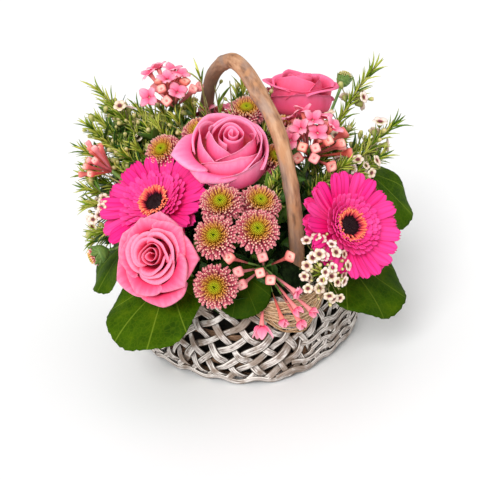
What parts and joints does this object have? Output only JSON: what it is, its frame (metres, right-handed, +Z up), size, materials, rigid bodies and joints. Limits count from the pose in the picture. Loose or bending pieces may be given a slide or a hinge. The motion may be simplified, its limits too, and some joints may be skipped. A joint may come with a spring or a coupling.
{
  "type": "flower basket arrangement",
  "caption": "Round woven basket with an arched branch handle, filled with pink roses, gerberas, small button chrysanthemums, trumpet sprays, waxflower and round leaves set in foam.",
  "frame": {"origin": "middle of the basket's flat underside, on the surface that it stands on", "axes": "+Z up, -Y towards the front of the arrangement, +X to its right"},
  "size_m": [0.2927, 0.2741, 0.2566],
  "materials": {
    "bouvardia": "waxy tubes, coral pink",
    "branch": "peeled branch, satin",
    "dark_strip": "split willow, brown",
    "fibre": "loose plant fibre",
    "foam": "wet foam block",
    "galax": "glossy leaf",
    "gerbera": "petals, hot pink",
    "gerbera_eye": "packed dark florets",
    "liner": "thin dark film",
    "rose": "petals, velvety, pink with pale edges",
    "santini": "quilled petals, dusty pink",
    "santini_green": "green florets and stems",
    "stem": "green stem",
    "strip": "split willow, whitewashed and worn",
    "waxflower": "needles, green, with pale cups"
  },
  "bodies": {
    "root": {"basket_base": "dark_strip", "basket_rim": "strip", "basket_wall": "strip", "bouvardia_spray_1": "bouvardia", "bouvardia_spray_2": "bouvardia", "bouvardia_spray_3": "bouvardia", "bouvardia_spray_4": "bouvardia", "bouvardia_spray_5": "bouvardia", "floral_foam": "foam", "galax_leaf_1": "galax", "galax_leaf_2": "galax", "galax_leaf_3": "galax", "galax_leaf_4": "galax", "galax_leaf_5": "galax", "galax_leaf_6": "galax", "galax_leaf_7": "galax", "galax_leaf_8": "galax", "gerbera_1_eye": "gerbera_eye", "gerbera_1_rays": "gerbera", "gerbera_1_stem": "stem", "gerbera_2_eye": "gerbera_eye", "gerbera_2_rays": "gerbera", "gerbera_2_stem": "stem", "handle": "branch", "lashing_back": "fibre", "lashing_front": "fibre", "liner": "liner", "rose_1_petals": "rose", "rose_1_stem": "stem", "rose_2_petals": "rose", "rose_2_stem": "stem", "rose_3_petals": "rose", "rose_3_stem": "stem", "santini_10_petals": "santini", "santini_11_petals": "santini", "santini_12_petals": "santini", "santini_1_petals": "santini", "santini_2_petals": "santini", "santini_3_petals": "santini", "santini_4_petals": "santini", "santini_5_petals": "santini", "santini_6_petals": "santini", "santini_7_petals": "santini", "santini_8_petals": "santini", "santini_9_petals": "santini", "santini_bud_1": "santini_green", "santini_bud_2": "santini_green", "santini_spray_1_green": "santini_green", "santini_spray_2_green": "santini_green", "santini_spray_3_green": "santini_green", "santini_spray_4_green": "santini_green", "waxflower_spray_1": "waxflower", "waxflower_spray_2": "waxflower", "waxflower_spray_3": "waxflower", "waxflower_spray_4": "waxflower", "waxflower_spray_5": "waxflower", "waxflower_spray_6": "waxflower", "waxflower_spray_7": "waxflower"}
  },
  "joints": []
}
